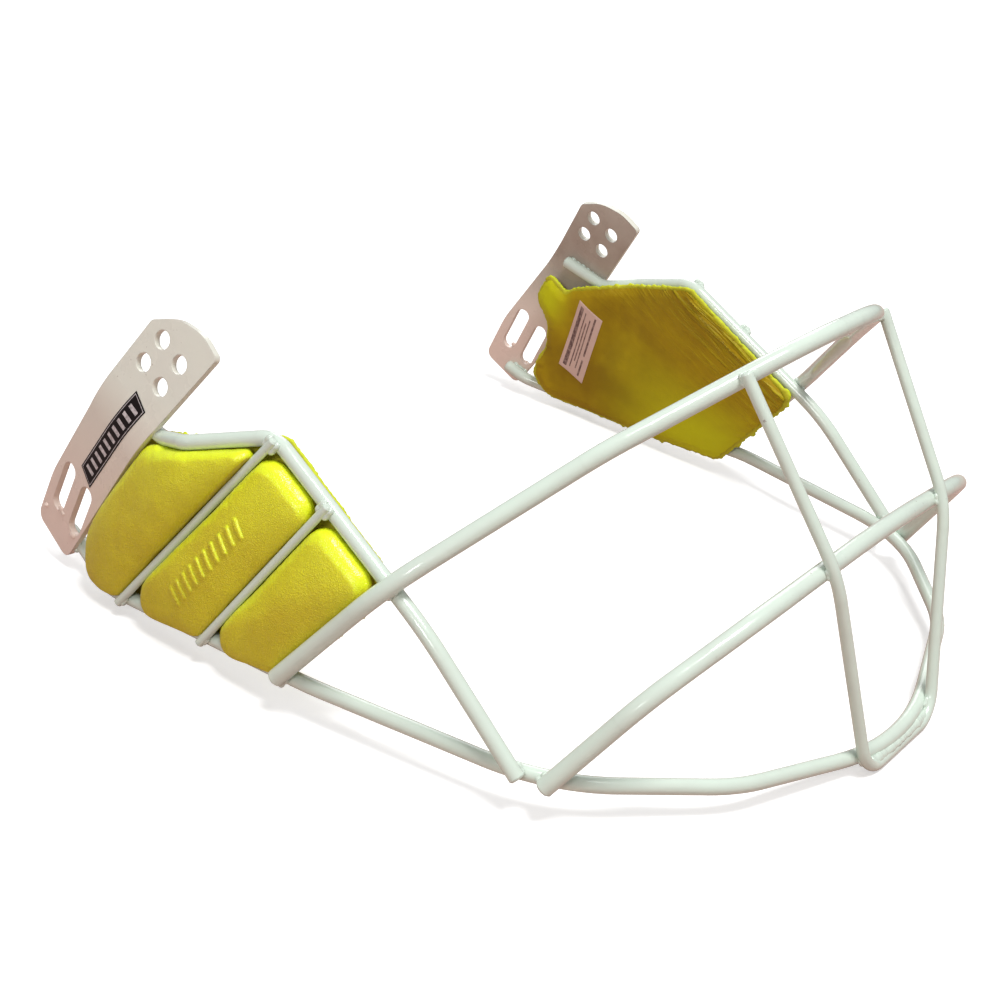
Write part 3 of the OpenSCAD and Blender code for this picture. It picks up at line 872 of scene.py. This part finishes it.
def addFolds(piece, kind):
    # slow dents and a few soft folds in the leather
    folds = pillow["folds"]
    seed = pillow["seeds"][kind]
    layY, layZ = folds["lay"]
    for vertex, normal in zip(piece.data.vertices, normalsOf(piece)):
        _, y, z = vertex.co / mm
        broad = noiseAt(y, z, (*folds["broad"], seed)) * folds["broadShare"]
        fold = noiseAt(y * layY - z * layZ, y * layZ + z * layY, (*folds["grain"], seed + folds["layer"]))
        ridge = -max(0, folds["width"] - abs(fold)) / folds["width"]
        high = (broad + folds["share"] * ridge) * folds["high"][kind]
        vertex.co += normal * high * mm * smoothStep(*folds["face"], normal.x)


def paintRimLight(piece):
    # painted light: the rims on the side that faces up and to the front, and the upper part of the pillow, are marked
    # to be painted brighter; the same mark makes the leather smoother and glossier there
    rims = pillow["rims"]
    front, up = rims["sky"]
    values = []
    heights = [vertex.co.z for vertex in piece.data.vertices]
    foot, head = min(heights), max(heights)
    for n, height in zip(normalsOf(piece), heights):
        slope = smoothStep(*rims["slope"], abs(n.x))
        lit = smoothStep(*rims["lit"], up * n.z + front * n.y)
        high = rims["headShare"] * smoothStep(*rims["head"], (height - foot) / (head - foot))
        values.append(max(slope * lit, high * smoothStep(*rims["headLit"], n.z + n.x)))
    setAttribute(piece, "rim", values)


def refine(piece):
    addModifier(piece, "finer", "SUBSURF", levels=1, render_levels=1)
    applyModifiers(piece)


def makePillow(kind, rods, material):
    piece = copyNode(f"{kind}_pillow_right", f"{kind}_pillow_soft_right")
    addModifier(piece, "shrink", "DISPLACE", strength=-pillow["shrink"], mid_level=0)
    addEven(piece, pillow["voxel"])
    applyModifiers(piece)
    blowUp(piece)
    piece.data.update()
    fillOut(piece, kind)
    hangOver(piece)
    addRelax(piece, pillow["relax"])
    applyModifiers(piece)
    for _ in range(pillow["rounds"]):
        keepBeside(piece)
        keepClear(piece, rods)
        addRelax(piece, 1)
        applyModifiers(piece)
    refine(piece)
    keepClear(piece, rods)
    calmSpikes(piece)
    refine(piece)
    addFolds(piece, kind)
    if kind == "middle":
        addRibs(piece)
    keepClear(piece, rods)
    calmSpikes(piece)
    paintRimLight(piece)
    piece.data.materials.append(material)
    twin = mirrorPiece(piece, f"{kind}_pillow_soft_left")
    standFor(piece, twin, f"{kind}_pillow")


sheetShape = {
    "voxel": 0.8 * mm,
    "relax": 2,
    # the torn rim: the slopes that count as rim, and the grain and height of the roughness and of the tufts
    "rim": (0.9, 0.5),
    "coarse": 0.8,
    "fine": 2.1,
    "fineShare": 0.5,
    "fineShift": (9, 4, 2),
    "rough": 0.45,
    "tuftGrain": (0.35, 0.35, 3),
    "tuftFloor": 0.12,
    "tuftHigh": 2.2,
    "tufts": 0.8,
    "faceGrain": 0.25,
    "faceHigh": 0.12,
    "frontEdge": ((-32.6, 68.5), (25.1, 38.6)),
    # each trim: a place on the edge, the way out of it, and the step back in mm
    "trims": (((16.3, 42.4), (0.798, -0.603), 3.4), ((16.3, 42.4), (0.487, 0.873), 0.4)),
    "trimReach": 9,
}


def frontDistance(y, z):
    # distance in mm of a place in the side view from the cheek rod's front leg
    (y0, z0), (y1, z1) = sheetShape["frontEdge"]
    length = math.hypot(y1 - y0, z1 - z0)
    return ((y - y0) * (z1 - z0) - (z - z0) * (y1 - y0)) / length


def pullBack(piece, more=0):
    # the sheet on the wearer's right is cut a little shorter along its front edges
    for (y, z), (ny, nz), trim in sheetShape["trims"]:
        for vertex in piece.data.vertices:
            past = (vertex.co.y / mm - y) * ny + (vertex.co.z / mm - z) * nz
            step = (trim + more) * smoothStep(-sheetShape["trimReach"], 0, past) * mm
            vertex.co.y -= ny * step
            vertex.co.z -= nz * step
    piece.data.update()


def makePadSheet(material):
    # foam with a torn rim
    shape = sheetShape
    piece = copyNode("pad_sheet_right", "pad_sheet_soft_right")
    addEven(piece, shape["voxel"])
    addRelax(piece, shape["relax"])
    applyModifiers(piece)
    rims = []
    for vertex, n in zip(piece.data.vertices, normalsOf(piece)):
        point = vertex.co / mm
        side = smoothStep(*shape["rim"], abs(n.x))
        finer = noise.noise(point * shape["fine"] + Vector(shape["fineShift"]))
        rough = noise.noise(point * shape["coarse"]) + shape["fineShare"] * finer
        tuft = max(0, noiseAt(point.y, point.z, shape["tuftGrain"]) - shape["tuftFloor"]) * shape["tuftHigh"]
        out = (rough * shape["rough"] + tuft * shape["tufts"]) * side
        dent = noise.noise(point * shape["faceGrain"]) * shape["faceHigh"] * (1 - side)
        vertex.co += (Vector((0, n.y, n.z)) * out + n * dent) * mm
        rims.append(side)
    piece.data.update()
    setAttribute(piece, "rim", rims)
    piece.data.materials.append(material)
    twin = mirrorPiece(piece, "pad_sheet_soft_left")
    pullBack(piece)
    standFor(piece, twin, "pad_sheet")


liningShape = {
    "thicken": 0.7 * mm,
    "voxel": 0.75 * mm,
    "thick": 0.35 * mm,
    "inner": -0.7,
    "rimRounds": 4,
    "short": 1.5,
    # the hem: rings of points from the border, how far it is tucked in, and the share of the creases left in it
    "hem": 5,
    "tuck": 0.55,
    "hemShare": 0.25,
    # the creases near the front edge, and slow waves; heights in mm, grains as in noiseAt
    "lay": (0.888, 0.46),
    "creaseGrain": (0.035, 0.34, 1.7),
    "creaseWidth": 0.22,
    "creaseReach": 10,
    "crease": 0.9,
    "slowGrain": (0.05, 0.05, 8.3),
    "slow": 0.4,
    "fanGrain": (0.09, 0.05, 4.1),
    "fan": 0.3,
    # the parts with painted light: the flap at the rear, and the lower part, by y and z in mm
    "flap": ((-78, -90), (30, 44)),
    "low": ((-75, -15), (36, 8)),
    "lowLean": 0.25,
    "smooth": math.radians(50),
}


def skinArea(piece):
    return sum(face.area for face in piece.data.polygons)


def makeLining(material):
    # the lining's inner face, evenly meshed, creased and given a film's thickness
    shape = liningShape
    piece = copyNode("pad_lining_right", "pad_lining_film_right")
    addModifier(piece, "fat", "DISPLACE", strength=shape["thicken"], mid_level=0)
    addEven(piece, shape["voxel"], smooth=False)
    applyModifiers(piece)
    mesh = bmesh.new()
    mesh.from_mesh(piece.data)
    mesh.normal_update()
    bmesh.ops.delete(mesh, geom=[face for face in mesh.faces if face.normal.x > shape["inner"]], context="FACES")
    loose = [vertex for vertex in mesh.verts if not vertex.link_faces]
    bmesh.ops.delete(mesh, geom=loose, context="VERTS")
    axes = {"use_axis_x": True, "use_axis_y": True, "use_axis_z": True}
    for _ in range(shape["rimRounds"]):
        rim = [vertex for vertex in mesh.verts if vertex.is_boundary]
        bmesh.ops.smooth_vert(mesh, verts=rim, factor=0.5, **axes)
    bmesh.ops.smooth_vert(mesh, verts=mesh.verts, factor=0.5, **axes)
    mesh.verts.index_update()
    ring = [vertex for vertex in mesh.verts if vertex.is_boundary]
    rings = {vertex.index: 0 for vertex in ring}
    for number in range(1, shape["hem"]):
        ring = list({edge.other_vert(vertex) for vertex in ring for edge in vertex.link_edges})
        for vertex in ring:
            rings.setdefault(vertex.index, number)
    area = sum(face.calc_area() for face in mesh.faces)
    mesh.to_mesh(piece.data)
    mesh.free()
    fronts, paintedLitParts = [], []
    layY, layZ = shape["lay"]
    for vertex in piece.data.vertices:
        _, y, z = vertex.co / mm
        free = smoothStep(0, shape["hem"], rings.get(vertex.index, shape["hem"]))
        share = math.exp(-max(0, frontDistance(y, z)) / shape["creaseReach"])
        along = y * layY - z * layZ
        across = y * layZ + z * layY
        creases = max(0, shape["creaseWidth"] - abs(noiseAt(along, across, shape["creaseGrain"])))
        proud = creases / shape["creaseWidth"] * share * shape["crease"]
        proud += abs(noiseAt(y, z, shape["slowGrain"])) * shape["slow"]
        proud += max(0, noiseAt(along, across, shape["fanGrain"])) * shape["fan"]
        proud *= shape["hemShare"] + (1 - shape["hemShare"]) * free
        vertex.co.x += shape["thicken"] + (shape["tuck"] * (1 - free) - proud) * mm
        fronts.append(share)
        # painted light: the flap and the lower part are marked to be painted lighter
        flap = smoothStep(*shape["flap"][0], y) * smoothStep(*shape["flap"][1], z)
        low = smoothStep(*shape["low"][0], y) * smoothStep(*shape["low"][1], z + shape["lowLean"] * y)
        paintedLitParts.append(max(flap, low))
    piece.data.update()
    setAttribute(piece, "front", fronts)
    setAttribute(piece, "low", paintedLitParts)
    addModifier(piece, "skin", "SOLIDIFY", thickness=shape["thick"], offset=-1)
    applyModifiers(piece)
    bpy.ops.object.shade_smooth_by_angle(angle=shape["smooth"])
    piece.data.materials.append(material)
    low, high = Vector(piece.bound_box[0]), Vector(piece.bound_box[6])
    twin = mirrorPiece(piece, "pad_lining_film_left")
    whole = skinArea(twin)
    pullBack(piece, shape["short"])
    standFor(piece, twin, "pad_lining")
    for made, side in ((piece, "right"), (twin, "left")):
        share = skinArea(made) / whole
    return twin


labelShape = {
    "thick": 0.12 * mm,
    "lift": 0.04 * mm,
    "edge": 0.04 * mm,
    "grid": {"x_subdivisions": 36, "y_subdivisions": 12, "size": 1},
    "smooth": math.radians(40),
    # the rays' start, x in m, and the corners in the side view, y and z in mm: foot, head, head, foot
    "dark": (0.2, ((-98.8, 35.4), (-80.1, 65.2), (-75.1, 60.9), (-94.3, 30.3))),
    "pale": (-0.05, ((-82.7, 19.9), (-76.2, 48.4), (-66.1, 43.2), (-71.9, 15.2))),
}


def layLabel(name, surface, material, start, corners):
    # a thin label on the surface that a ray from x = start meets on its way towards -x
    deselectAll()
    bpy.ops.mesh.primitive_grid_add(**labelShape["grid"])
    piece = bpy.context.object
    piece.name = piece.data.name = name
    foot0, head0, head1, foot1 = [Vector(corner) for corner in corners]
    for vertex in piece.data.vertices:
        u, v = vertex.co.x + 0.5, vertex.co.y + 0.5
        place = foot1.lerp(head1, u).lerp(foot0.lerp(head0, u), v) * mm
        hit, normal, _, _ = surface.ray_cast(Vector((start, place.x, place.y)), Vector((-1, 0, 0)))
        if normal.x < 0:
            normal = -normal
        vertex.co = hit + normal * labelShape["lift"]
    piece.data.update()
    facing = 1 if piece.data.polygons[0].normal.x > 0 else -1
    addModifier(piece, "skin", "SOLIDIFY", thickness=labelShape["thick"], offset=facing)
    addModifier(piece, "edge", "BEVEL", width=labelShape["edge"], segments=2, limit_method="ANGLE")
    applyModifiers(piece)
    mendNormals(piece)
    bpy.ops.object.shade_smooth_by_angle(angle=labelShape["smooth"])
    piece.data.materials.append(material)
    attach(piece, "root")
    return piece


weldShape = {
    "voxel": 0.24 * mm,
    "relax": 4,
    "sphere": {"segments": 16, "ring_count": 10},
    # a bead's lumps in mm: their spacing, the end kept free, and the place and size with what the wobble adds
    "lumps": {"spacing": 1.3, "end": 0.7, "grain": 0.31, "layers": (1.7, 3.1), "aside": (0.36, 0.15),
              "up": (0.28, 0.12), "size": ((1.15, 0.12), (0.72, 0.1), (0.78, 0.1)), "perWidth": 0.05},
    # how much bigger the beads are at the heads of the cross rods, and the width in mm that tells those apart
    "fat": 1.35,
    "thin": 3,
    # small lumps on the plate's outer face: place and size, along the plate, across it and out of it
    "plateOut": (0.994262, -0.0992405, 0.0399337),
    "nubs": (
        ((110.3, -114.3, 15.9), (0.95, 0.85, 1.1)),
        ((111.05, -107.5, 17.7), (1.2, 1.0, 0.55)),
        ((111.3, -106.2, 16.6), (0.9, 0.8, 0.5)),
        ((112.0, -101.1, 11.9), (1.5, 1.2, 0.6)),
    ),
    # the long groove: its middle, the way out of it, half its length, the chin rod's bend and the lumps, in mm
    "run": {"y": 114.75, "z": 2.7, "out": (0, 0.818, 0.576), "half": 17, "step": 1.2, "bend": 88, "proud": 1.25,
            "sag": (-0.5, 0.1), "grain": (0.6, 1, 1.3), "layer": 4.2, "uneven": 0.16, "long": 1.2, "wide": (1, 0.035),
            "high": (0.85, 0.12)},
    # where each rod is welded, in mm on the right side: name, place, out of the inner rod, along the outer rod,
    # the outer rod's diameter, half length of the bead
    "places": [
        ("top_on_chin", (117.1, -12.0, 10.2), (0.983, -0.05, 0.176), (-0.152, 0.575, 0.804), 5.0, 2.6),
        ("top_on_cheek", (109.0, 13.4, 45.6), (0.915, 0.158, 0.372), (-0.402, 0.55, 0.732), 5.0, 2.6),
        ("mouth_on_chin", (102.0, 64.3, 11.1), (0.85, 0.515, 0.109), (-0.367, 0.459, 0.809), 5.0, 2.6),
        ("cheek_on_chin", (105.4, 56.7, 11.8), (0.867, 0.322, 0.38), (-0.021, 0.775, -0.632), 4.3, 2.4),
        ("centre_on_top", (38.8, 63.5, 104.3), (0.632, 0.676, 0.38), (-0.103, 0.604, -0.791), 3.4, 2.2),
        ("centre_on_mouth", (33.6, 95.8, 60.4), (0.074, 0.898, 0.434), (-0.151, 0.468, -0.871), 3.4, 2.3),
        ("centre_on_chin", (20.4, 113.3, 5.3), (0.149, 0.984, 0.093), (-0.595, 0.226, -0.772), 3.4, 1.9),
        ("rear_on_cheek", (107.0, -31.7, 67.5), (0.991, 0.126, 0.042), (0.134, -0.551, -0.824), 2.5, 2.3),
        ("rear_on_chin", (117.1, -72.8, 5.7), (0.975, -0.044, 0.219), (0.134, -0.551, -0.824), 2.5, 1.8),
        ("front_on_cheek", (107.9, -10.7, 57.5), (0.989, 0.1, 0.111), (0.158, -0.511, -0.845), 2.5, 2.3),
        ("front_on_chin", (117.1, -40.4, 8.2), (0.974, -0.042, 0.223), (0.158, -0.511, -0.845), 2.5, 1.8),
        ("chin_on_plate", (110.4, -102.6, 8.8), (-0.994, 0.099, -0.04), (0.107, 0.938, -0.331), 4.3, 4.0),
        ("cheek_on_plate", (109.6, -80.2, 57.2), (-0.994, 0.099, -0.04), (0.059, 0.968, -0.246), 4.3, 7.6),
    ],
}


def addBead(centre, along, across, out, size):
    # one lump of a bead; the place and the size are in mm
    deselectAll()
    bpy.ops.mesh.primitive_uv_sphere_add(radius=1, **weldShape["sphere"])
    bead = bpy.context.object
    turn = Matrix((along * size[0], across * size[1], out * size[2])).transposed().to_4x4()
    bead.matrix_world = Matrix.Diagonal((mm, mm, mm, 1)) @ Matrix.Translation(centre) @ turn
    return bead


def runTogether(beads, name, material):
    # the lumps of a weld flow into one mesh
    deselectAll()
    for bead in beads:
        bead.select_set(True)
    bpy.context.view_layer.objects.active = beads[0]
    bpy.ops.object.join()
    piece = bpy.context.object
    settle(piece)
    piece.name = piece.data.name = name
    addEven(piece, weldShape["voxel"])
    addRelax(piece, weldShape["relax"])
    applyModifiers(piece)
    piece.data.materials.append(material)
    return piece


def keepWelds(*pieces):
    for made in pieces:
        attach(made, "root")


def makeWeld(name, place, out, along, width, reach, material):
    # a bead on each side of the outer rod, a little lumpy
    place, out, along = Vector(place), Vector(out).normalized(), Vector(along)
    along = (along - out * along.dot(out)).normalized()
    across = out.cross(along)
    lumps = weldShape["lumps"]
    count = max(2, round(reach / lumps["spacing"]))
    fat = weldShape["fat"] if "on_cheek" in name and width < weldShape["thin"] else 1
    layerK, layerSide = lumps["layers"]
    beads = []
    for side in (-1, 1):
        for k in range(count):
            t = (k + 0.5) / count * 2 - 1
            wobble = noise.noise(place * lumps["grain"] + Vector((k * layerK, side * layerSide, 0)))
            aside = width * lumps["aside"][0] + wobble * lumps["aside"][1]
            up = lumps["up"][0] + wobble * lumps["up"][1]
            centre = place + along * (t * (reach - lumps["end"])) + across * side * aside * fat + out * up
            long, wide, high = [fat * (base + more * wobble) for base, more in lumps["size"]]
            wide += fat * width * lumps["perWidth"]
            beads.append(addBead(centre, along, across, out, (long, wide, high)))
    piece = runTogether(beads, f"weld_{name}_right", material)
    keepWelds(piece, mirrorPiece(piece, f"weld_{name}_left"))


def makeNubs(material):
    # where the weld of the chin rod's end has come through to the plate's outer face
    out = Vector(weldShape["plateOut"]).normalized()
    along = Vector((0, 0, 1)).cross(out).normalized()
    beads = [addBead(Vector(place), along, out.cross(along), out, size) for place, size in weldShape["nubs"]]
    piece = runTogether(beads, "weld_nubs_right", material)
    keepWelds(piece, mirrorPiece(piece, "weld_nubs_left"))


def makeLongWeld(material):
    # the filled groove between the chin rod and the foot of the centre rod
    run = weldShape["run"]
    out = Vector(run["out"]).normalized()
    along = Vector((1, 0, 0))
    beads = []
    for k in range(round(2 * run["half"] / run["step"]) + 1):
        x = k * run["step"] - run["half"]
        wobble = noiseAt(x, run["layer"], run["grain"])
        bend = x * x / (2 * run["bend"])
        centre = Vector((x, run["y"] + run["sag"][0] * bend, run["z"] + run["sag"][1] * bend))
        centre += out * (run["proud"] + run["uneven"] * wobble)
        wide = run["wide"][0] + run["wide"][1] * abs(x) + run["uneven"] * wobble
        high = run["high"][0] + run["high"][1] * wobble
        beads.append(addBead(centre, along, out.cross(along), out, (run["long"], wide, high)))
    keepWelds(runTogether(beads, "weld_centre_run", material))


makeCamera()
makeStudio()
coat = makeCoat("rodPaint", rodLook)
platePaint = makeCoat("platePaint", plateLook)
leather = makeLeather("padLeather")
foam = makeSheetFoam("padFoam")
film = makeFilm("padFilm")
for name, piece in nodes.items():
    piece.data.materials.clear()
    soft = film if "lining" in name else leather
    hard = platePaint if "plate" in name else coat
    piece.data.materials.append(soft if "pad" in name or "pillow" in name else hard)
say("finishes ready")

rods = treeOf("chin_rod", "cheek_rod_right", "top_bar", "rear_cross_rod_right", "front_cross_rod_right",
              "side_plate_right")
for kind in pillow["seeds"]:
    makePillow(kind, rods, leather)
say("pillows ready")

makePadSheet(foam)
liningLeft = makeLining(film)
say("sheets and linings ready")

darkLabel = makeDarkLabel("labelBlack")
paleLabel = makePaleLabel("labelPale")
plateTree = treeOf("side_plate_right")
label = layLabel("plate_label_right", plateTree, darkLabel, *labelShape["dark"])
twin = mirrorPiece(label, "plate_label_left")
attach(twin, "root")
bpy.context.view_layer.update()
liningTree = BVHTree.FromObject(liningLeft, bpy.context.evaluated_depsgraph_get())
layLabel("pad_label_left", liningTree, paleLabel, *labelShape["pale"])
say("labels ready")

for name, place, out, along, width, reach in weldShape["places"]:
    makeWeld(name, place, out, along, width, reach, coat)
makeLongWeld(coat)
makeNubs(platePaint)
say("welds ready")
